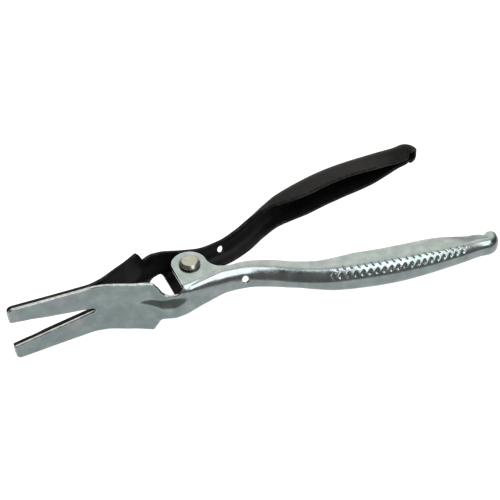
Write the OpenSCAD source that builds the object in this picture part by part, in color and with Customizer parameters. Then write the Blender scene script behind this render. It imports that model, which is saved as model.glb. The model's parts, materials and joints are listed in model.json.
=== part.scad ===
// Hose removal pliers: two identical formed steel halves, face to face at the forked jaws,
// hinged on one rivet. Squeezing the handles spreads the forks apart.
// Origin: on the pivot axis, half way up the rivet. +X to the handle ends, forks towards -X,
// +Z up along the pivot axis. Plated half on the -Y side, black half on the +Y side.

/* [Sheet] */
// Thickness of the sheet steel
sheet_t = 1.6; // [1.5:0.05:1.7]
// Air gap between the two fork plates at rest
jaw_gap = 0.3; // [0.2:0.05:0.5]

/* [Forks] */
// Pivot axis to the fork tips
jaw_reach = 83.8; // [80:0.2:88]
// Height of the fork plates at the tips
tip_h = 29.8; // [28:0.2:30]
// Height of the fork plates at the root of the slot
root_h = 26.8; // [26:0.2:27.6]
// Width of the V slot at its mouth
slot_mouth = 15.2; // [13:0.2:16]
// Width of the V slot at its rounded root
slot_root = 2.4; // [2:0.2:3.6]
// Pivot axis to the bottom of the V slot
slot_end = 46; // [44:0.5:52]
// Radius of the prongs' outer corners
tip_round = 2.4; // [1.6:0.2:3]

/* [Neck] */
// Pivot axis to the line where each fork plate bends outwards
bend_x = 48; // [46:0.5:50]
// Outer face of the neck wall to the middle plane
wall_off = 15; // [14.6:0.1:15.4]
// Top of the ear above the middle of the tool
ear_z = 8.3; // [8.1:0.1:8.8]
// Radius of the ear's round end
ear_r = 8.2; // [7.8:0.1:8.4]
// How far the ear's flat face lies below the bend's crown
ear_step = 0.25; // [0.15:0.05:0.3]

/* [Handles] */
// Pivot axis to the handle ends
handle_reach = 142.2; // [140:0.2:145]
// Largest distance of the grip's outer face from the middle plane
grip_off = 42.1; // [41.5:0.2:42.7]
// Height of the grip channel at its tallest
grip_h = 13.4; // [13:0.2:14]
// Depth of the grip channel at its deepest
grip_d = 13; // [12.6:0.2:13.4]
// How far the handle ends turn outwards
flare = 0.9; // [0.6:0.1:1.2]

/* [Pivot] */
// Diameter of the rivet's shank
shank_d = 6; // [5.6:0.1:6.4]
// Radial running clearance around the shank
shank_play = 0.05; // [0.03:0.01:0.08]
// Diameter of the rivet heads
head_d = 9.8; // [9.4:0.1:10.4]
// Height of the rivet heads
head_h = 2.2; // [2:0.1:2.4]
// Bevel on the edge of the rivet heads
head_bevel = 0.8; // [0.5:0.1:1]
// Outer diameter of the spacer sleeve between the ears
sleeve_d = 9; // [8.6:0.1:9.6]
// End play at each moving face of the pivot stack
end_play = 0.15; // [0.1:0.05:0.3]

/* [Hanging holes] */
// Diameter of the hole in each neck wall
hole_d = 3; // [2.6:0.1:3.2]
// Pivot axis to the hole
hole_x = 21; // [20:0.5:23]
// Height of the plated half's hole above the middle of the tool
hole_z = 2.8; // [2.5:0.1:3.1]

/* [Hidden] */
jaw_out = jaw_gap / 2 + sheet_t;
tip_x = -jaw_reach;
end_x = handle_reach;
half_grip = grip_h / 2;
flat_top = ear_z - ear_step;
flat_low = ear_z - sheet_t + 0.05;
arc_steps = 6;
spline_step = 3;
lean_back = -0.25;
ear_left = -ear_r;

// Loft stations of one half, fork tip to handle end:
// [x, outer face offset, top, top bend angle, top arc, top flange,
//  bottom, bottom bend angle, bottom arc, bottom flange]
STATIONS = [
    [tip_x, jaw_out, tip_h / 2, 0, 5, 1, -tip_h / 2, 0, 5, 1],
    [-bend_x - 4, jaw_out, root_h / 2 + 0.1, 0, 5, 1, -root_h / 2 - 0.1, 0, 5, 1],
    [-bend_x, jaw_out, root_h / 2, 0, 5, 1, -root_h / 2, 0, 5, 1],
    [-43, jaw_out + 0.8, root_h / 2 + 0.1, 0, 5, 1, -root_h / 2, 0, 5, 1],
    [-32, wall_off - 9.3, 12.5, 0, 6, 1, -14.8, 0, 5, 1],
    [-22.3, wall_off - 6.2, 10.8, 0, 6, 1, -15.9, 0, 5, 1],
    [-18, wall_off - 3.2, 9.6, 25, 4.5, 1, -7.8, 0, 3, 1],
    [-13, wall_off - 0.8, ear_z + 0.2, 70, 4.4, 1.5, -6.8, 0, 2, 1],
    [-7, wall_off, ear_z, 90, 5.6, 3, -6, 0, 2, 1],
    [2, wall_off + 0.1, ear_z, 90, 7.6, 2, -3.3, 0, 1.6, 0.8],
    [12, wall_off + 0.1, ear_z - 0.1, 90, 8, 1.4, -1.2, 0, 1.2, 0.6],
    [21, wall_off + 0.8, ear_z - 0.7, 90, 8, 1.8, -1.5, 0, 1.2, 0.6],
    [31, wall_off + 4.2, ear_z - 1.6, 90, 8, 2.7, -2.2, 15, 1.6, 0.6],
    [40, wall_off + 9, ear_z - 2.2, 90, 8, 3, -3.4, 40, 2.6, 0.8],
    [49, wall_off + 13.6, half_grip - 0.7, 90, 8.2, 3.4, -4.8, 75, 4, 1.6],
    [58, wall_off + 17.3, half_grip - 0.5, 90, 8.2, 5, -5.9, 90, 5.6, 5],
    [72, grip_off - 5.8, half_grip - 0.1, 90, 8.2, grip_d - 6.3, -half_grip + 0.1, 90, 6.6, grip_d - 5.3],
    [85, grip_off - 3.1, half_grip - 0.1, 90, 8.2, grip_d - 6.2, -half_grip, 90, 6.6, grip_d - 5.2],
    [98, grip_off - 1.3, half_grip - 0.4, 90, 8, grip_d - 5.9, -half_grip + 0.4, 90, 6.6, grip_d - 5],
    [110, grip_off - 0.4, half_grip - 1.1, 93, 6.9, grip_d - 5.2, -half_grip + 1.1, 93, 6.4, grip_d - 4.9],
    [122, grip_off, half_grip - 1.9, 99, 5.6, grip_d - 5.6, -half_grip + 1.9, 99, 5.6, grip_d - 5.6],
    [132, grip_off - 0.1, half_grip - 2.4, 109, 5, grip_d - 6.7, -half_grip + 2.4, 109, 5, grip_d - 6.7],
    [end_x - 6, grip_off + flare, half_grip - 2.5, 112, 4.8, grip_d - 8.1, -half_grip + 2.5, 112, 4.8, grip_d - 8.1],
    [end_x - 2.5, grip_off - 0.4, half_grip - 2.8, 104, 4.1, grip_d - 9.6, -half_grip + 2.8, 104, 4.1, grip_d - 9.6],
    [end_x - 0.6, grip_off - 2.6, half_grip - 3.2, 95, 3.3, grip_d - 10.8, -half_grip + 3.2, 95, 3.3, grip_d - 10.8],
    [end_x, grip_off - 4.4, half_grip - 3.4, 90, 2.8, 1, -half_grip + 3.4, 90, 2.8, 1],
];
LAST = len(STATIONS) - 1;

// Smooth, never overshooting curve through one column of the stations
function seg(x, k = 0) = (k >= LAST - 1 || x < STATIONS[k + 1][0]) ? k : seg(x, k + 1);
function secant(k, c) = (STATIONS[k + 1][c] - STATIONS[k][c]) / (STATIONS[k + 1][0] - STATIONS[k][0]);
function slope(k, c) =
    k == 0 ? secant(0, c)
    : k == LAST ? secant(LAST - 1, c)
    : secant(k - 1, c) * secant(k, c) <= 0 ? 0
    : 2 * secant(k - 1, c) * secant(k, c) / (secant(k - 1, c) + secant(k, c));
function curve(x, c) =
    let(k = seg(x), w = STATIONS[k + 1][0] - STATIONS[k][0], u = (x - STATIONS[k][0]) / w)
    STATIONS[k][c] * (1 + 2 * u) * (1 - u) * (1 - u) + STATIONS[k + 1][c] * u * u * (3 - 2 * u)
    + slope(k, c) * w * u * (1 - u) * (1 - u) - slope(k + 1, c) * w * u * u * (1 - u);

// One side of a section: [inward, height, angle] along the sheet's middle line, wall to rim
function run(angle, arc, flange) =
    let(a = max(angle, 0.5), r = arc / a * 180 / PI)
    concat(
        [for (i = [0:arc_steps]) [r * (1 - cos(a * i / arc_steps)), r * sin(a * i / arc_steps), a * i / arc_steps]],
        [[r * (1 - cos(a)) + flange * sin(a), r * sin(a) + flange * cos(a), a]]);
function rise(angle, arc, flange) =
    let(rim = run(angle, arc, flange)[arc_steps + 1])
    angle > 90 ? arc / angle * 180 / PI + sheet_t / 2 : rim[1] + sheet_t / 2 * sin(rim[2]);

// Middle line of the section at x, top rim to bottom rim: [inward, z, angle of the normal]
function midline(x) =
    let(up = run(curve(x, 3), curve(x, 4), curve(x, 5)),
        dn = run(curve(x, 7), curve(x, 8), curve(x, 9)),
        z_up = curve(x, 2) - rise(curve(x, 3), curve(x, 4), curve(x, 5)),
        z_dn = curve(x, 6) + rise(curve(x, 7), curve(x, 8), curve(x, 9)))
    concat(
        [for (i = [arc_steps + 1:-1:0]) [up[i][0], z_up + up[i][1], up[i][2]]],
        [for (i = [0:arc_steps + 1]) [dn[i][0], z_dn - dn[i][1], -dn[i][2]]]);

// Point of the sheet: d is the distance outwards from the middle line
function place(x, q, d) =
    let(m = max(lean_back, (curve(x + 0.05, 1) - curve(x - 0.05, 1)) / 0.1), n = sqrt(1 + m * m),
        in = sheet_t / 2 + q[0] - d * cos(q[2]))
    [x + m / n * in, -curve(x, 1) + in / n, q[1] + d * sin(q[2])];

function loop(x) =
    let(mid = midline(x))
    concat([for (q = mid) place(x, q, sheet_t / 2)],
           [for (i = [len(mid) - 1:-1:0]) place(x, mid[i], -sheet_t / 2)]);

function station_xs() =
    [for (k = [0:LAST - 1])
        let(x0 = STATIONS[k][0], x1 = STATIONS[k + 1][0], n = k < 2 ? 1 : ceil((x1 - x0) / spline_step))
        for (i = [0:n - 1]) x0 + (x1 - x0) * i / n,
     STATIONS[LAST][0]];

module sheet_sweep() {
    xs = station_xs();
    loops = [for (x = xs) loop(x)];
    m = len(loops[0]);
    n = len(xs);
    polyhedron(
        points = [for (l = loops) each l],
        faces = concat(
            [for (j = [0:m / 2 - 2]) each [[j, j + 1, m - 1 - j], [j + 1, m - 2 - j, m - 1 - j]]],
            [for (j = [0:m / 2 - 2])
                let(o = (n - 1) * m) each [[o + j + 1, o + j, o + m - 1 - j], [o + m - 2 - j, o + j + 1, o + m - 1 - j]]],
            [for (i = [0:n - 2], j = [0:m - 1])
                let(a = i * m + j, b = i * m + (j + 1) % m) each [[a, a + m, b], [b, a + m, b + m]]]),
        convexity = 8);
}

// V slot, open at the tips, with a round root
module slot_cut() {
    root_x = -slot_end - slot_root / 2;
    rotate([90, 0, 0]) linear_extrude(height = 20, center = true)
        polygon([[tip_x - 1, -slot_mouth / 2], [root_x, -slot_root / 2], [root_x, slot_root / 2],
                 [tip_x - 1, slot_mouth / 2]]);
    translate([root_x, 0, 0]) rotate([90, 0, 0]) cylinder(h = 20, r = slot_root / 2, center = true, $fn = 48);
}

// Round outer corners of the prongs
module tip_cut() {
    for (s = [-1, 1])
        rotate([90, 0, 0]) linear_extrude(height = 20, center = true)
            translate([tip_x + tip_round, s * (tip_h / 2 - tip_round)])
                difference() {
                    translate([-tip_round - 1, s > 0 ? 0 : -tip_round - 1]) square(tip_round + 1);
                    circle(r = tip_round, $fn = 48);
                }
}

// Rounded notch between the shoulder and the ear, seen from the side
module notch_cut() {
    low = 4.1;
    r = 4.4;
    rotate([90, 0, 0]) linear_extrude(height = 60, center = true) {
        polygon([[-20.9, 14], [-19.6, 11], [-18.5, 8], [-17.4, 5.8], [-16.2, 4.5], [-15, low],
                 [ear_left - r, low], [ear_left - r, low + r], [ear_left, low + r], [ear_left, 14]]);
        translate([ear_left - r, low + r]) circle(r = r, $fn = 64);
    }
}

// Flat ear that the rivet passes through
module ear() {
    root_y = -wall_off + 5;
    translate([0, 0, flat_low]) linear_extrude(height = flat_top - flat_low) {
        circle(r = ear_r, $fn = 96);
        translate([ear_left, root_y]) square([ear_r + 6, -root_y]);
        polygon([[6, 0], [8, -1.2], [8.7, -3], [9.7, -4.8], [11.3, -6.4], [13.6, -7.6], [17, -8.2],
                 [17, root_y], [6, root_y]]);
    }
}

module half() {
    difference() {
        union() {
            difference() {
                sheet_sweep();
                slot_cut();
                tip_cut();
                notch_cut();
            }
            ear();
        }
        cylinder(h = 40, r = shank_d / 2 + shank_play, center = true, $fn = 96);
        translate([hole_x, 0, hole_z]) rotate([90, 0, 0]) cylinder(h = 40, r = hole_d / 2, $fn = 48);
    }
}

module plated_half() {
    color([0.78, 0.80, 0.80]) half();
}

module black_half() {
    color([0.08, 0.08, 0.09]) rotate([180, 0, 0]) half();
}

module rivet() {
    top = flat_top + end_play;
    color([0.80, 0.81, 0.82]) rotate_extrude($fn = 96)
        polygon([[0, -top - head_h], [head_d / 2 - head_bevel, -top - head_h], [head_d / 2, -top - head_h + head_bevel],
                 [head_d / 2, -top], [shank_d / 2, -top], [shank_d / 2, top], [head_d / 2, top],
                 [head_d / 2, top + head_h - head_bevel], [head_d / 2 - head_bevel, top + head_h], [0, top + head_h]]);
}

module spacer_sleeve() {
    len_z = 2 * (flat_low - end_play);
    color([0.62, 0.63, 0.64]) difference() {
        cylinder(h = len_z, r = sleeve_d / 2, center = true, $fn = 96);
        cylinder(h = len_z + 2, r = shank_d / 2 + shank_play, center = true, $fn = 96);
    }
}

plated_half();
black_half();
rivet();
spacer_sleeve();
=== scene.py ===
"""Hose removal pliers: two identical sheet steel pressings, one zinc plated and one painted black,
hinged on a rivet that passes through a spacer sleeve. A pressing is made as the real one is: a flat
blank is cut out and then formed, so edges, bends, crease and grip dimples are all geometry."""

import json
import math

import bpy
import numpy as np
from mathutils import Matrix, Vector
from mathutils.geometry import delaunay_2d_cdt


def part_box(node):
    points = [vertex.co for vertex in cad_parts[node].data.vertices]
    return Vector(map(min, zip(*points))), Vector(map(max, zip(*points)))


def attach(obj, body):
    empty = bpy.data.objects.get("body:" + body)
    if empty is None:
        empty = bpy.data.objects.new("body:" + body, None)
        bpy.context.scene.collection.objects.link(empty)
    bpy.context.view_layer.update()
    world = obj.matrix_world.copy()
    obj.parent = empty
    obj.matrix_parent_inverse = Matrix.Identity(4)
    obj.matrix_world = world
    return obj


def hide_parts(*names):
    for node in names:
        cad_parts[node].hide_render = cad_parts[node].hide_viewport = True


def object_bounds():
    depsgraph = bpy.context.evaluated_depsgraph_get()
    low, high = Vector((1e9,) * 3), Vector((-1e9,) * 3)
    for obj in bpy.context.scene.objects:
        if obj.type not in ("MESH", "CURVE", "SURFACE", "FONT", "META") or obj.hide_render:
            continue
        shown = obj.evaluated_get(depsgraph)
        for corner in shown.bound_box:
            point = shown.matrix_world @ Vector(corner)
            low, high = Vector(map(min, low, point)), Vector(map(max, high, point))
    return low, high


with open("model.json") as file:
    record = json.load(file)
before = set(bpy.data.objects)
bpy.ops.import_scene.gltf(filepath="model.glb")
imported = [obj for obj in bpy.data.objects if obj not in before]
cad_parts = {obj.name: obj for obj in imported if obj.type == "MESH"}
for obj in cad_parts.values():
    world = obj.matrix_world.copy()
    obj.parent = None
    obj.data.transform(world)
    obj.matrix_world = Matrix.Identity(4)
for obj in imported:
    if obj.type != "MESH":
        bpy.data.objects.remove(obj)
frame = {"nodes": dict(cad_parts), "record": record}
cad_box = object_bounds()

# ---------------------------------------------------------------- sizes, in millimetres

MM = 0.001


def node_box(node):
    """A CAD node's lowest and highest corners in millimetres."""
    low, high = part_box(node)
    return low / MM, high / MM


HALF_LOW, HALF_HIGH = node_box("plated_half")
RIVET_HIGH = node_box("rivet")[1]
SLEEVE_HIGH = node_box("spacer_sleeve")[1]
HANGING_HOLE = next(m for m in frame["record"]["mounts"] if m["name"] == "hanging_hole_plated")

SHEET = 1.6
EDGE_R = 0.35

TIP_X = HALF_LOW.x
TIP_TOP = 14.9
TIP_R = 2.4
SLOT_MOUTH = 7.5
SLOT_ROOT_X = -47.2
SLOT_ROOT_R = 1.2

WALL_OFF = 15.0
EAR_Z = 8.3
EAR_R = 8.2
NOTCH_R = 4.4
NOTCH_LOW = 4.1

FLARE = 0.9
GRIP_OFF = -HALF_LOW.y - FLARE
GRIP_TOP = 6.7
GRIP_DEEP = 13.0
NOSE_OUT = 0.5
NOSE_X = HALF_HIGH.x - 6.9
NOSE_LONG = 6.0
NOSE_DEEP = 6.4
NOSE_R = 6.3
END_U = NOSE_X + NOSE_R * math.radians(86)
END_CORNER_R = 0.8

SHANK_R = 3.0
BORE_R = 3.05
HEAD_H = 2.2
HEAD_BEVEL = 1.3

# ---------------------------------------------------------------- the formed sheet

# Sections of one half, fork tips to handle end: place along the tool, outer face offset, then the
# height, bend angle, bend length and flange length of the top side, and the same of the bottom side.
# The bottom side's columns follow LOW in the order in which the top side's follow TOP.
X, OFFSET, TOP, TOP_ANGLE, TOP_ARC, TOP_FLANGE, LOW = range(7)
STATIONS = np.array([
    [TIP_X, 1.75, TIP_TOP, 0, 5, 1, -TIP_TOP, 0, 5, 1],
    [-52, 1.75, 13.5, 0, 5, 1, -13.5, 0, 5, 1],
    [-48, 1.75, 13.4, 0, 5, 1, -13.4, 0, 5, 1],
    [-43, 2.55, 13.5, 0, 5, 1, -13.4, 0, 5, 1],
    [-32, WALL_OFF - 9.3, 12.5, 0, 6, 1, -14.8, 0, 5, 1],
    [-22.3, WALL_OFF - 6.2, 10.8, 0, 6, 1, -15.9, 0, 5, 1],
    [-18, WALL_OFF - 3.2, 9.6, 25, 4.5, 1, -7.8, 0, 3, 1],
    [-13, WALL_OFF - 0.8, EAR_Z + 0.2, 70, 4.4, 1.5, -6.8, 0, 2, 1],
    [-7, WALL_OFF, EAR_Z, 90, 5.6, 3, -6, 0, 2, 1],
    [2, WALL_OFF + 0.1, EAR_Z, 90, 7.6, 2, -3.3, 0, 1.6, 0.8],
    [12, WALL_OFF + 0.1, EAR_Z - 0.1, 90, 8, 1.4, -1.2, 0, 1.2, 0.6],
    [21, WALL_OFF + 0.8, EAR_Z - 0.7, 90, 8, 1.8, -1.5, 0, 1.2, 0.6],
    [31, WALL_OFF + 4.2, EAR_Z - 1.6, 90, 8, 2.7, -2.2, 15, 1.6, 0.6],
    [40, WALL_OFF + 9, EAR_Z - 2.2, 90, 8, 3, -3.4, 40, 2.6, 0.8],
    [49, WALL_OFF + 13.6, GRIP_TOP - 0.7, 90, 8.2, 3.4, -4.8, 75, 4, 1.6],
    [58, WALL_OFF + 17.3, GRIP_TOP - 0.5, 90, 8.2, 5, -5.9, 90, 5.6, 5],
    [72, GRIP_OFF - 5.8, GRIP_TOP - 0.1, 90, 8.2, GRIP_DEEP - 6.3, -GRIP_TOP + 0.1, 90, 6.6, GRIP_DEEP - 5.3],
    [85, GRIP_OFF - 3.1, GRIP_TOP - 0.1, 90, 8.2, GRIP_DEEP - 6.2, -GRIP_TOP, 90, 6.6, GRIP_DEEP - 5.2],
    [98, GRIP_OFF - 1.3, GRIP_TOP - 0.4, 90, 8, GRIP_DEEP - 5.9, -GRIP_TOP + 0.4, 90, 6.6, GRIP_DEEP - 5],
    [110, GRIP_OFF - 0.4, GRIP_TOP - 1.1, 93, 6.9, GRIP_DEEP - 5.2, -GRIP_TOP + 1.1, 93, 6.4, GRIP_DEEP - 4.9],
    [122, GRIP_OFF, GRIP_TOP - 1.9, 101, 5.6, GRIP_DEEP - 5.6, -GRIP_TOP + 1.9, 101, 5.6, GRIP_DEEP - 5.6],
    [130, GRIP_OFF - 0.1, GRIP_TOP - 2.3, 110, 5, GRIP_DEEP - 6.1, -GRIP_TOP + 2.3, 110, 5, GRIP_DEEP - 6.1],
    [NOSE_X, GRIP_OFF + NOSE_OUT, GRIP_TOP - 2.3, 112, 4.8, 5.5, -GRIP_TOP + 2.3, 112, 4.8, 5.5],
    [END_U - 4, GRIP_OFF + NOSE_OUT, 4.3, 108, 4.4, 3.3, -4.3, 108, 4.4, 3.3],
    [END_U, GRIP_OFF + NOSE_OUT, 4.1, 98, 3.8, 1.6, -4.1, 98, 3.8, 1.6],
])


def column(u, c):
    """Smooth, never overshooting curve through one column of the stations."""
    xs, values = STATIONS[:, X], STATIONS[:, c]
    secant = np.diff(values) / np.diff(xs)
    before, after = secant[:-1], secant[1:]
    same = before * after > 0
    total = np.where(same, before + after, 1)
    slope = np.concatenate([secant[:1], np.where(same, 2 * before * after / total, 0), secant[-1:]])
    k = np.clip(np.searchsorted(xs, u, side="right") - 1, 0, len(xs) - 2)
    w = xs[k + 1] - xs[k]
    f = (u - xs[k]) / w
    return (values[k] * (1 + 2 * f) * (1 - f) ** 2 + values[k + 1] * f * f * (3 - 2 * f)
            + slope[k] * w * f * (1 - f) ** 2 - slope[k + 1] * w * f * f * (1 - f))


def smooth(value, start, end):
    """0 before start, 1 after end, smooth between."""
    f = np.clip((value - start) / (end - start), 0, 1)
    return f * f * (3 - 2 * f)


def bend(u, low=False):
    """Angle in radians, radius, arc length and flange length of a section's top or bottom side,
    and the height at which its bend starts."""
    shift = LOW - TOP if low else 0
    angle = np.radians(np.maximum(column(u, TOP_ANGLE + shift), 0.5))
    arc = column(u, TOP_ARC + shift)
    flange = column(u, TOP_FLANGE + shift)
    radius = arc / angle
    rim = radius * np.sin(angle) + flange * np.cos(angle) + SHEET / 2 * np.sin(angle)
    rise = np.where(angle > math.pi / 2, radius + SHEET / 2, rim)
    height = column(u, TOP + shift)
    start = height + rise if low else height - rise
    return angle, radius, arc, flange, start


def bend_side(length, angle, radius, arc):
    """Inward distance and height reached after a length along a bend and its flange."""
    turned = np.clip(length, 0, arc) / radius
    past = np.maximum(length - arc, 0)
    return (radius * (1 - np.cos(turned)) + past * np.sin(angle),
            radius * np.sin(turned) + past * np.cos(angle))


def wall_line(u):
    """Plan position of the wall's middle line, and the lean of the sections that cross it."""
    x = np.minimum(u, NOSE_X)
    slope = (column(x + 0.05, OFFSET) - column(x - 0.05, OFFSET)) / 0.1
    turn = np.maximum(u - NOSE_X, 0) / NOSE_R
    y = -column(x, OFFSET) + SHEET / 2 * np.sqrt(1 + slope ** 2) + NOSE_DEEP * (1 - np.cos(turn))
    lean = np.maximum(slope * smooth(u, 11, 22), -0.25) - np.tan(0.75 * turn)
    return x + NOSE_LONG * np.sin(turn), y, lean


def fold(u, t):
    """The plainly bent sheet: where its middle surface goes from the place (u, t) of the blank."""
    top_angle, top_radius, top_arc, _, top_start = bend(u)
    low_angle, low_radius, low_arc, _, low_start = bend(u, low=True)
    top_in, top_rise = bend_side(np.maximum(t - top_start, 0), top_angle, top_radius, top_arc)
    low_in, low_rise = bend_side(np.maximum(low_start - t, 0), low_angle, low_radius, low_arc)
    x, y, lean = wall_line(u)
    y = y + dart(u, np.clip(t, low_start, top_start) + top_rise)
    inward = (top_in + low_in) / np.sqrt(1 + lean ** 2)
    z = np.clip(t, low_start, top_start) + top_rise - low_rise
    return np.stack([x + lean * inward, y + inward, z], axis=-1)


def dart(u, z):
    """Inward step of the neck wall across the slanting band where the flat fork plate turns
    into the rounded neck."""
    low_edge = np.interp(u, [-29, -24, -18, -13, -7], [1.0, -0.6, -3.0, -2.2, -0.5])
    top_edge = np.interp(u, [-29, -24, -18, -13, -7], [1.4, 1.8, 2.4, 3.6, 4.5])
    depth = np.interp(u, [-29, -24, -18, -13, -5], [0.0, 1.3, 3.0, 3.0, 0.8])
    return depth * (smooth(z, low_edge, top_edge) - 0.4)


def surface_normal(shape, u, t, step=0.02):
    """Unit normal of a formed surface, towards the outside of the pressing."""
    along = shape(u + step, t) - shape(u - step, t)
    across = shape(u, t + step) - shape(u, t - step)
    normal = np.cross(along, across)
    return normal / np.linalg.norm(normal, axis=-1, keepdims=True)


CREASE_START = np.array([-6.9, -13.0])
CREASE_END = np.array([10.9, -8.8])
EAR_STEP = 0.25


def crease(u, t):
    """Step down from the bend's bead to the flat ear, with a fine groove along it."""
    place = fold(u, t)
    along = (CREASE_END - CREASE_START) / np.linalg.norm(CREASE_END - CREASE_START)
    run = (place[..., :2] - CREASE_START) @ along
    side = (place[..., :2] - CREASE_START) @ np.array([-along[1], along[0]])
    on_top = smooth(place[..., 2], 5.0, 6.5)
    fade = 1 - smooth(run, 17, 22)
    step = -EAR_STEP * smooth(side, -0.3, 0.7)
    groove = -0.14 * np.exp(-((side - 0.3) / 0.75) ** 2) * smooth(run, -0.5, 2)
    bead = 0.1 * np.exp(-((side + 1.4) / 1.0) ** 2)
    return on_top * fade * (step + groove + bead)


DIMPLE_PITCH = 3.3
DIMPLE_FIRST = 57.5
DIMPLE_COUNT = 20


# The two rows: angle round the bend, shift in pitches, slant, half width, half height, depth.
DIMPLE_ROWS = [
    (36, 0.0, 0.5, 0.85, 1.3, 0.42),
    (68, 0.5, -0.3, 0.65, 0.85, 0.3),
]


def dimples(u, t):
    """Two staggered rows of slanting dimples pressed into the outer bend of the grip."""
    angle, radius, arc, _, start = bend(u)
    depth = np.zeros_like(u)
    for turned, shift, slant, half_wide, half_tall, deep in DIMPLE_ROWS:
        scale = arc / 8.2
        across = (t - start - radius * math.radians(turned)) / (half_tall * scale)
        nearest = np.clip(np.round((u - DIMPLE_FIRST) / DIMPLE_PITCH - shift), 0, DIMPLE_COUNT - 1)
        along = u - DIMPLE_FIRST - (nearest + shift) * DIMPLE_PITCH - slant * across
        reach = (along / half_wide) ** 2 + across ** 2
        depth = np.maximum(depth, deep * scale * np.clip(1 - reach, 0, 1) ** 0.8)
    return -depth


def formed(u, t):
    """The finished sheet's middle surface: the folded sheet with its crease and grip dimples."""
    pressed = crease(u, t) + dimples(u, t)
    return fold(u, t) + pressed[..., None] * surface_normal(fold, u, t)


# ---------------------------------------------------------------- the blank's outline

def rim(u, low=False):
    """The blank's edge along the top or bottom rim."""
    _, _, arc, flange, start = bend(u, low)
    return start - arc - flange if low else start + arc + flange


def at_height(u, z):
    """The blank's place whose folded height is z, in the wall or the top bend."""
    angle, radius, _, _, start = bend(u)
    lifted = np.clip((z - start) / radius, 0, np.sin(np.minimum(angle, math.pi / 2)))
    return np.minimum(z, start) + radius * np.arcsin(lifted)


def on_ear(x, y):
    """The blank's place whose folded plan position is (x, y), on the level ear."""
    _, radius, arc, _, start = bend(x)
    wall_y = wall_line(x)[1]
    return start + arc + y - wall_y - radius


def round_corners(corners):
    """Polyline through (u, t, radius) corners, each rounded off by its radius."""
    points = []
    for k, (u, t, radius) in enumerate(corners):
        if radius == 0:
            points.append((u, t))
            continue
        here = Vector((u, t))
        before = (Vector(corners[k - 1][:2]) - here).normalized()
        after = (Vector(corners[(k + 1) % len(corners)][:2]) - here).normalized()
        half = before.angle(after) / 2
        middle = here + (before + after).normalized() * radius / math.sin(half)
        first = here + before * radius / math.tan(half)
        last = here + after * radius / math.tan(half)
        steps = max(3, math.ceil(radius * (math.pi - 2 * half) / 0.25))
        for i in range(steps + 1):
            chord = first.lerp(last, i / steps) - middle
            points.append(tuple(middle + chord.normalized() * radius))
    return points


def arc_points(centre, radius, start, end, steps):
    """Points on an arc, angles in degrees."""
    angles = np.radians(np.linspace(start, end, steps))
    return centre[0] + radius * np.cos(angles), centre[1] + radius * np.sin(angles)


def plain(us, ts):
    """Corners with no rounding."""
    return [(float(u), float(t), 0) for u, t in zip(us, ts)]


def tip_corners(side):
    """One prong's end, from its outer corner to the slot's mouth."""
    return [(TIP_X, side * TIP_TOP, TIP_R), (TIP_X, side * SLOT_MOUTH, 0.5)]


def blank_outline():
    """Outer edge of the blank, anticlockwise from the root of the V slot."""
    corners = plain(*arc_points((SLOT_ROOT_X, 0), SLOT_ROOT_R, 80, -80, 12))
    corners += tip_corners(-1)[::-1]
    fork_low_u = np.arange(TIP_X + 4, -24, 1.0)
    shoulder_u = np.arange(-24, -15, 0.4)
    grip_low_u = np.arange(-15, END_U - 1, 1.0)
    low_u = np.concatenate([fork_low_u, shoulder_u, grip_low_u])
    corners += plain(low_u, rim(low_u, low=True))
    end = np.array(END_U)
    corners += [(END_U, float(rim(end, low=True)), END_CORNER_R), (END_U, float(rim(end)), END_CORNER_R)]
    top_u = np.arange(END_U - 1, 19, -1.0)
    corners += plain(top_u, rim(top_u))
    fillet = np.array([[17, -8.25], [15.4, -8.0], [13.6, -7.6], [11.3, -6.4], [9.7, -4.8], [8.7, -3]])
    corners += plain(fillet[:, 0], on_ear(fillet[:, 0], fillet[:, 1]))
    ear_x, ear_y = arc_points((0, 0), EAR_R, -8, 180, 48)
    corners += plain(ear_x, on_ear(ear_x, ear_y))
    notch_u, notch_z = arc_points((-EAR_R - NOTCH_R, NOTCH_LOW + NOTCH_R), NOTCH_R, -14, -90, 14)
    corners += plain(notch_u, at_height(notch_u, notch_z))
    notch = np.array([[-15, 4.1], [-16.2, 4.5], [-17.4, 5.8], [-18.5, 8.0], [-19.3, 10.2]])
    corners += plain(notch[:, 0], at_height(notch[:, 0], notch[:, 1]))
    fork_u = np.concatenate([np.arange(-19.7, -26, -0.5), np.arange(-26, TIP_X + 4, -1.0)])
    corners += plain(fork_u, rim(fork_u))
    corners += tip_corners(1)
    return round_corners(corners)


def bore_outline():
    """The rivet's bore in the ear, clockwise."""
    x, y = arc_points((0, 0), BORE_R, 360, 7.5, 48)
    return list(zip(x, on_ear(x, y)))


def hanging_hole_outline():
    """The hanging hole in the neck wall, clockwise."""
    centre_x, _, centre_z = (c / MM for c in HANGING_HOLE["pos_m"])
    x, z = arc_points((centre_x, centre_z), HANGING_HOLE["dims"]["r_mm"], 360, 11.25, 32)
    return list(zip(x, at_height(x, z)))


# ---------------------------------------------------------------- the pressing's mesh

def resample(loop, spacing):
    """Closed loop with its long edges divided."""
    points = np.array(loop)
    following = np.roll(points, -1, axis=0)
    pieces = []
    for a, b in zip(points, following):
        n = max(1, math.ceil(np.linalg.norm(b - a) / spacing))
        pieces.append(a + (b - a) * np.arange(n)[:, None] / n)
    return np.concatenate(pieces)


def edge_ends(loops):
    """Starts and ends of all the outline's edges."""
    return np.concatenate(loops), np.concatenate([np.roll(loop, -1, axis=0) for loop in loops])


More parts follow.
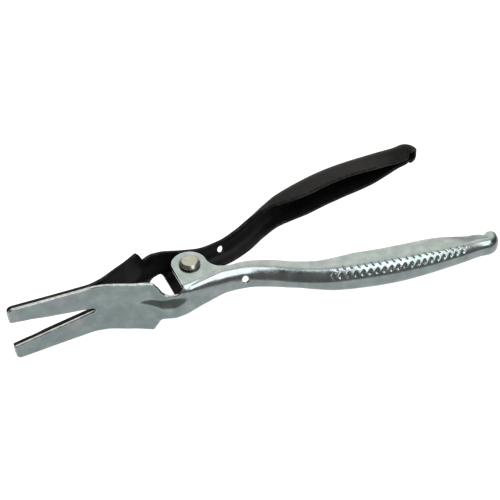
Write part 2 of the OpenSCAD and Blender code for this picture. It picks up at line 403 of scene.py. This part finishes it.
def edge_distance(points, starts, ends):
    """Distance from each point to the nearest edge."""
    nearest = np.full(len(points), 1e9)
    for chunk in np.array_split(np.arange(len(starts)), max(1, len(starts) // 60)):
        a, d = starts[chunk][None], (ends - starts)[chunk][None]
        offset = points[:, None] - a
        f = np.clip((offset * d).sum(-1) / (d * d).sum(-1), 0, 1)
        gap = np.linalg.norm(offset - f[..., None] * d, axis=-1)
        nearest = np.minimum(nearest, gap.min(axis=1))
    return nearest


def inside(points, starts, ends):
    """Which points lie in the blank, by counting the edges to their right."""
    crossings = np.zeros(len(points), int)
    for a, b in zip(starts, ends):
        spans = (a[1] > points[:, 1]) != (b[1] > points[:, 1])
        if a[1] != b[1]:
            cut = a[0] + (points[:, 1] - a[1]) * (b[0] - a[0]) / (b[1] - a[1])
            crossings += spans & (points[:, 0] < cut)
    return crossings % 2 == 1


def grid(u_range, t_range, spacing):
    """Points of a regular grid."""
    us, ts = np.meshgrid(np.arange(*u_range, spacing), np.arange(*t_range, spacing))
    return np.stack([us.ravel(), ts.ravel()], axis=-1)


def edge_rings(loops, starts, ends):
    """Rows of points close inside the outline, which carry the rounded edges."""
    rings = []
    for turned in (30, 60, 90):
        depth = EDGE_R * (1 - math.cos(math.radians(turned)))
        for loop in loops:
            way = np.roll(loop, -1, axis=0) - np.roll(loop, 1, axis=0)
            way /= np.linalg.norm(way, axis=1, keepdims=True)
            ring = loop + depth * np.stack([-way[:, 1], way[:, 0]], axis=-1)
            rings.append(ring[edge_distance(ring, starts, ends) > 0.93 * depth])
    return np.concatenate(rings)


def detail_zone(points):
    """Which points lie on the dimpled part of the grip, or on the ear near its crease."""
    u = points[:, 0]
    _, radius, _, _, start = bend(u)
    turned = (points[:, 1] - start) / radius
    dimpled = (u > DIMPLE_FIRST - 2) & (u < DIMPLE_FIRST + DIMPLE_PITCH * (DIMPLE_COUNT + 0.5))
    creased = (u > -9) & (u < 20)
    return (dimpled & (turned > 0.15) & (turned < 1.35)) | (creased & (turned > 0.8) & (turned < 3.2))


def blank_mesh():
    """The flat blank as triangles: points, triangles and each point's distance from the edge."""
    loops = [resample(loop, 0.6) for loop in (blank_outline(), bore_outline(), hanging_hole_outline())]
    starts, ends = edge_ends(loops)
    low, high = starts.min(axis=0), starts.max(axis=0)
    coarse = grid((low[0], high[0]), (low[1], high[1]), 0.62)
    fine = grid((low[0], high[0]), (0, high[1]), 0.3)
    inner = np.concatenate([coarse[~detail_zone(coarse)], fine[detail_zone(fine)]])
    inner = inner[inside(inner, starts, ends)]
    inner = inner[edge_distance(inner, starts, ends) > EDGE_R + 0.25]
    points = np.concatenate([starts, edge_rings(loops, starts, ends), inner])
    edges = []
    first = 0
    for loop in loops:
        n = len(loop)
        edges += [(first + i, first + (i + 1) % n) for i in range(n)]
        first += n
    verts, _, faces, _, _, _ = delaunay_2d_cdt([Vector(p) for p in points], edges, [], 0, 1e-5)
    points = np.array([tuple(v) for v in verts])
    triangles = np.array(faces)
    middles = points[triangles].mean(axis=1)
    triangles = triangles[inside(middles, starts, ends)]
    return points, triangles, edge_distance(points, starts, ends)


def open_edges(triangles):
    """Edges that belong to one triangle only, in that triangle's direction."""
    directed = {side for a, b, c in triangles.tolist() for side in ((a, b), (b, c), (c, a))}
    return [(a, b) for a, b in directed if (b, a) not in directed]


def pressing_geometry():
    """Vertices in metres and faces of one pressing, and each vertex's nearness to an edge."""
    points, triangles, edge_gap = blank_mesh()
    u, t = points[:, 0], points[:, 1]
    middle = formed(u, t)
    normal = surface_normal(formed, u, t)
    fall = np.maximum(EDGE_R - edge_gap, 0)
    half = SHEET / 2 - EDGE_R + np.sqrt(EDGE_R ** 2 - fall ** 2)
    outer = middle + normal * half[:, None]
    inner = middle - normal * half[:, None]
    n = len(points)
    faces = triangles.tolist() + (triangles[:, ::-1] + n).tolist()
    faces += [(b, a, a + n, b + n) for a, b in sorted(open_edges(triangles))]
    nearness = np.tile(np.clip(1 - edge_gap / 0.9, 0, 1), 2)
    return np.concatenate([outer, inner]) * MM, faces, nearness


def make_piece(name, verts, faces, body, node):
    """A smooth-shaded piece that stands for a CAD node and rides on its body."""
    mesh = bpy.data.meshes.new(name)
    mesh.from_pydata([tuple(v) for v in verts], [], faces)
    mesh.validate()
    mesh.shade_smooth()
    piece = bpy.data.objects.new(name, mesh)
    bpy.context.scene.collection.objects.link(piece)
    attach(piece, body)
    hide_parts(node)
    return piece


def add_edge_wear(piece, nearness):
    """Vertex attribute that the finish reads: 1 on the sheet's edges, 0 away from them."""
    attribute = piece.data.attributes.new("edge_wear", "FLOAT", "POINT")
    attribute.data.foreach_set("value", nearness.astype(np.float32))


def make_halves():
    """Both halves, which are the same pressing: the black one is turned over about the long axis."""
    verts, faces, nearness = pressing_geometry()
    turned_over = verts * np.array([1, -1, -1])
    plated = make_piece("plated_pressing", verts, faces, "plated_side", "plated_half")
    black = make_piece("black_pressing", turned_over, faces, "black_side", "black_half")
    for piece in (plated, black):
        add_edge_wear(piece, nearness)
    return plated, black


# ---------------------------------------------------------------- rivet and sleeve

def lathe(profile, closed=True, steps=144):
    """Vertices in metres and faces of a profile of (radius, height) turned about Z. The ends of an
    open profile are joined to the axis by a fan."""
    count = len(profile)
    verts = []
    faces = []
    for i in range(steps):
        a = 2 * math.pi * i / steps
        verts += [(r * math.cos(a) * MM, r * math.sin(a) * MM, z * MM) for r, z in profile]
        for j in range(count if closed else count - 1):
            k, i2 = (j + 1) % count, (i + 1) % steps
            faces.append((i * count + j, i2 * count + j, i2 * count + k, i * count + k))
    if not closed:
        centre = len(verts)
        verts += [(0, 0, profile[0][1] * MM), (0, 0, profile[-1][1] * MM)]
        for i in range(steps):
            here, after = i * count, (i + 1) % steps * count
            faces += [(centre, after, here), (centre + 1, here + count - 1, after + count - 1)]
    return verts, faces


def head_profile():
    """Upper half of the rivet's outline, from the middle of its shank to the head's centre."""
    top = RIVET_HIGH.z
    radius = RIVET_HIGH.x
    corners = [(SHANK_R, 0, 0), (SHANK_R, top - HEAD_H, 0), (radius, top - HEAD_H, 0.25),
               (radius, top - HEAD_BEVEL, 0.6), (radius - HEAD_BEVEL, top, 1.0), (radius * 0.5, top, 0)]
    return round_corners(corners) + [(radius * f, top) for f in (0.25, 0.05)]


def make_rivet():
    """One rivet with two bevelled heads."""
    upper = head_profile()
    lower = [(r, -z) for r, z in upper[1:]]
    verts, faces = lathe(lower[::-1] + upper, closed=False)
    return make_piece("pivot_rivet", verts, faces, "plated_side", "rivet")


def make_sleeve():
    """Tube that keeps the two ears apart."""
    outer, top = SLEEVE_HIGH.x, SLEEVE_HIGH.z
    corners = [(outer, -top, 0.4), (outer, top, 0.4), (BORE_R, top, 0.3), (BORE_R, -top, 0.3)]
    verts, faces = lathe(round_corners(corners))
    return make_piece("pivot_sleeve", verts, faces, "plated_side", "spacer_sleeve")


# ---------------------------------------------------------------- finishes

class Finish:
    """A procedural material, built node by node."""

    def __init__(self, name):
        self.material = bpy.data.materials.new(name)
        self.material.use_nodes = True
        self.nodes = self.material.node_tree.nodes
        self.links = self.material.node_tree.links
        self.shader = self.nodes["Principled BSDF"]
        self.place = self.nodes.new("ShaderNodeTexCoord").outputs["Object"]

    def noise(self, scale, detail=4.0, roughness=0.55):
        node = self.nodes.new("ShaderNodeTexNoise")
        node.inputs["Scale"].default_value = scale
        node.inputs["Detail"].default_value = detail
        node.inputs["Roughness"].default_value = roughness
        self.links.new(self.place, node.inputs["Vector"])
        return node.outputs["Fac"]

    def specks(self, scale, size):
        """Small scattered marks: 1 in a mark, 0 outside."""
        node = self.nodes.new("ShaderNodeTexVoronoi")
        node.inputs["Scale"].default_value = scale
        self.links.new(self.place, node.inputs["Vector"])
        return self.span(node.outputs["Distance"], (0.0, size), (1.0, 0.0))

    def span(self, value, source, target):
        """value carried from one range to another, clamped."""
        node = self.nodes.new("ShaderNodeMapRange")
        self.links.new(value, node.inputs["Value"])
        node.inputs["From Min"].default_value, node.inputs["From Max"].default_value = source
        node.inputs["To Min"].default_value, node.inputs["To Max"].default_value = target
        return node.outputs["Result"]

    def ramp(self, value, stops):
        node = self.nodes.new("ShaderNodeValToRGB")
        elements = node.color_ramp.elements
        while len(elements) < len(stops):
            elements.new(0.5)
        for element, (position, colour) in zip(elements, stops):
            element.position = position
            element.color = (*colour, 1)
        self.links.new(value, node.inputs["Fac"])
        return node.outputs["Color"]

    def mix(self, factor, first, second, blend="MIX"):
        """Colour mix. first is a socket, second a socket or a colour, factor a socket or a number."""
        node = self.nodes.new("ShaderNodeMix")
        node.data_type = "RGBA"
        node.blend_type = blend
        self.links.new(first, node.inputs[6])
        if isinstance(second, tuple):
            node.inputs[7].default_value = (*second, 1)
        else:
            self.links.new(second, node.inputs[7])
        if isinstance(factor, float):
            node.inputs["Factor"].default_value = factor
        else:
            self.links.new(factor, node.inputs["Factor"])
        return node.outputs[2]

    def edge_wear(self):
        node = self.nodes.new("ShaderNodeAttribute")
        node.attribute_name = "edge_wear"
        return node.outputs["Fac"]

    def multiply(self, first, second):
        node = self.nodes.new("ShaderNodeMath")
        node.operation = "MULTIPLY"
        self.links.new(first, node.inputs[0])
        self.links.new(second, node.inputs[1])
        return node.outputs[0]

    def bumps(self, layers):
        """Chained bumps: (height socket, strength, distance in metres) from coarse to fine."""
        normal = None
        for height, strength, distance in layers:
            node = self.nodes.new("ShaderNodeBump")
            node.inputs["Strength"].default_value = strength
            node.inputs["Distance"].default_value = distance
            self.links.new(height, node.inputs["Height"])
            if normal is not None:
                self.links.new(normal, node.inputs["Normal"])
            normal = node.outputs["Normal"]
        self.links.new(normal, self.shader.inputs["Normal"])

    def set(self, **values):
        for name, value in values.items():
            socket = self.shader.inputs[name.replace("_", " ")]
            if isinstance(value, bpy.types.NodeSocket):
                self.links.new(value, socket)
            else:
                socket.default_value = value


def zinc_finish():
    """Bright zinc plate: faintly tinted, cloudy, with small nicks and brighter rubbed edges."""
    f = Finish("zinc_plate")
    greys = [(0.3, (0.155, 0.185, 0.188)), (0.5, (0.19, 0.22, 0.222)), (0.72, (0.235, 0.262, 0.26))]
    cloud = f.ramp(f.noise(170, 6), greys)
    tints = [(0.35, (0.93, 1.0, 0.97)), (0.5, (0.97, 1.0, 1.0)), (0.65, (1.0, 0.97, 1.0))]
    tint = f.ramp(f.noise(45, 2), tints)
    colour = f.mix(1.0, cloud, tint, "MULTIPLY")
    spots = f.multiply(f.specks(420, 0.12), f.span(f.noise(60, 1), (0.52, 0.6), (0.0, 0.7)))
    colour = f.mix(spots, colour, (0.09, 0.1, 0.1))
    rubbed = f.multiply(f.edge_wear(), f.span(f.noise(500, 3), (0.4, 0.65), (0.1, 0.8)))
    colour = f.mix(rubbed, colour, (0.34, 0.36, 0.355))
    f.set(Base_Color=colour, Metallic=1.0, Roughness=f.span(f.noise(260, 5), (0.3, 0.7), (0.15, 0.29)))
    f.bumps([
        (f.noise(120, 2), 0.5, 0.00012),
        (f.noise(650, 3), 0.35, 0.00003),
        (f.noise(3200, 2), 0.25, 0.00001),
    ])
    return f.material


def black_finish():
    """Semi-gloss black paint with a fine orange peel and thin, dull rubbed edges."""
    f = Finish("black_paint")
    colour = f.ramp(f.noise(220, 4), [(0.35, (0.0036, 0.0036, 0.0038)), (0.65, (0.0060, 0.0060, 0.0063))])
    rubbed = f.multiply(f.edge_wear(), f.span(f.noise(420, 4), (0.5, 0.68), (0.0, 0.6)))
    colour = f.mix(rubbed, colour, (0.035, 0.035, 0.037))
    f.set(Base_Color=colour, Roughness=f.span(f.noise(300, 4), (0.3, 0.7), (0.33, 0.46)))
    f.set(Specular_IOR_Level=0.07)
    f.bumps([(f.noise(160, 2), 0.3, 0.0001), (f.noise(1500, 2), 0.3, 0.00002)])
    return f.material


def rivet_finish():
    """Plated rivet: a little warmer and smoother than the sheet, with fine pressing marks."""
    f = Finish("rivet_steel")
    colour = f.ramp(f.noise(380, 5), [(0.3, (0.185, 0.195, 0.17)), (0.7, (0.25, 0.26, 0.225))])
    f.set(Base_Color=colour, Metallic=1.0, Roughness=f.span(f.noise(500, 4), (0.3, 0.7), (0.22, 0.36)))
    f.bumps([(f.noise(350, 3), 0.4, 0.00006), (f.noise(2600, 2), 0.3, 0.00001)])
    return f.material


def sleeve_finish():
    """Plain turned steel with rings from the tool."""
    f = Finish("sleeve_steel")
    rings = f.nodes.new("ShaderNodeTexWave")
    rings.bands_direction = "Z"
    rings.inputs["Scale"].default_value = 900
    rings.inputs["Distortion"].default_value = 0.6
    f.links.new(f.place, rings.inputs["Vector"])
    colour = f.ramp(f.noise(260, 5), [(0.3, (0.14, 0.14, 0.14)), (0.7, (0.22, 0.22, 0.22))])
    f.set(Base_Color=colour, Metallic=1.0, Roughness=f.span(f.noise(400, 3), (0.3, 0.7), (0.3, 0.45)))
    f.bumps([(rings.outputs["Fac"], 0.3, 0.00003)])
    return f.material


def floor_finish():
    """Pale matt table top, lit evenly from within so that it stays white under the tool."""
    f = Finish("pale_floor")
    colour = f.ramp(f.noise(30, 3), [(0.3, (0.34, 0.34, 0.34)), (0.7, (0.37, 0.37, 0.37))])
    f.set(Base_Color=colour, Roughness=0.9, Emission_Color=(1.0, 1.0, 1.0, 1.0), Emission_Strength=0.88)
    return f.material


def finish_all(pieces):
    """Gives each new piece, and the CAD node that it stands for, its finish."""
    for piece, node, material in pieces:
        piece.data.materials.append(material)
        mesh = frame["nodes"][node].data
        mesh.materials.clear()
        mesh.materials.append(material)


# ---------------------------------------------------------------- camera, floor and light

AZIMUTH = math.radians(-24.8)
ELEVATION = math.radians(42.8)
DISTANCE = 0.5027
LENS = 79.2
AIM_SHIFT = (-0.9, -3.9, 9.1)

# Light panel in metres and watts: the dark part of the neck's shine begins at its left edge.
PANEL_CENTRE = (0.46, -0.81, 1.2)
PANEL_SIZE = (0.78, 1.58)
PANEL_POWER = 20


def make_camera():
    """Camera above the plated half, towards the forks."""
    low, high = cad_box
    aim = (low + high) / 2 + Vector(AIM_SHIFT) * MM
    level = math.cos(ELEVATION)
    back = Vector((math.sin(AZIMUTH) * level, -math.cos(AZIMUTH) * level, math.sin(ELEVATION)))
    data = bpy.data.cameras.new("camera")
    data.lens = LENS
    data.sensor_width = 36
    data.clip_start = 0.01
    camera = bpy.data.objects.new("camera", data)
    camera.location = aim + back * DISTANCE
    camera.rotation_euler = (-back).to_track_quat("-Z", "Y").to_euler()
    bpy.context.scene.collection.objects.link(camera)
    bpy.context.scene.camera = camera


def make_floor():
    """Wide, flat, pale floor just under the lowest point of the tool."""
    low = cad_box[0]
    rings = 24
    verts = [(0, 0, 0)]
    faces = []
    for k, radius in enumerate((0.6, 1.4, 3.0)):
        for i in range(rings):
            a = 2 * math.pi * i / rings
            verts.append((radius * math.cos(a), radius * math.sin(a), 0))
            here, after = 1 + k * rings + i, 1 + k * rings + (i + 1) % rings
            if k == 0:
                faces.append((0, here, after))
            else:
                faces.append((here - rings, here, after, after - rings))
    mesh = bpy.data.meshes.new("floor")
    mesh.from_pydata(verts, [], faces)
    mesh.materials.append(floor_finish())
    floor = bpy.data.objects.new("floor", mesh)
    floor.location = (0, 0, low.z - 0.05 * MM)
    bpy.context.scene.collection.objects.link(floor)


def make_panel(name, centre, size, power):
    """Soft light panel that hangs level above the tool."""
    data = bpy.data.lights.new(name, "AREA")
    data.shape = "RECTANGLE"
    data.size, data.size_y = size
    data.energy = power
    light = bpy.data.objects.new(name, data)
    light.location = centre
    bpy.context.scene.collection.objects.link(light)


def make_room():
    """Studio surroundings: dim walls, and a broad bright area high on the far right."""
    world = bpy.data.worlds.new("studio")
    world.use_nodes = True
    bpy.context.scene.world = world
    nodes, links = world.node_tree.nodes, world.node_tree.links
    direction = nodes.new("ShaderNodeTexCoord").outputs["Generated"]
    facing = nodes.new("ShaderNodeVectorMath")
    facing.operation = "DOT_PRODUCT"
    facing.inputs[1].default_value = Vector((0.30, 0.66, 0.69)).normalized()
    links.new(direction, facing.inputs[0])
    ramp = nodes.new("ShaderNodeValToRGB")
    elements = ramp.color_ramp.elements
    stops = [(0.0, 0.14), (0.16, 0.12), (0.32, 0.08), (0.62, 0.09), (0.8, 0.45), (0.91, 0.95), (1.0, 1.0)]
    while len(elements) < len(stops):
        elements.new(0.5)
    for element, (position, level) in zip(elements, stops):
        element.position = position
        element.color = (level, level * 0.96, level * 0.88, 1)
    links.new(facing.outputs["Value"], ramp.inputs["Fac"])
    background = nodes["Background"]
    background.inputs["Strength"].default_value = 2.4
    links.new(ramp.outputs["Color"], background.inputs["Color"])


def make_studio():
    make_camera()
    make_floor()
    make_room()
    make_panel("top_panel", PANEL_CENTRE, PANEL_SIZE, PANEL_POWER)
    bpy.context.scene.view_settings.view_transform = "Standard"


# ---------------------------------------------------------------- assembly

make_studio()
plated_pressing, black_pressing = make_halves()
rivet_piece = make_rivet()
sleeve_piece = make_sleeve()
finish_all([
    (plated_pressing, "plated_half", zinc_finish()),
    (black_pressing, "black_half", black_finish()),
    (rivet_piece, "rivet", rivet_finish()),
    (sleeve_piece, "spacer_sleeve", sleeve_finish()),
])
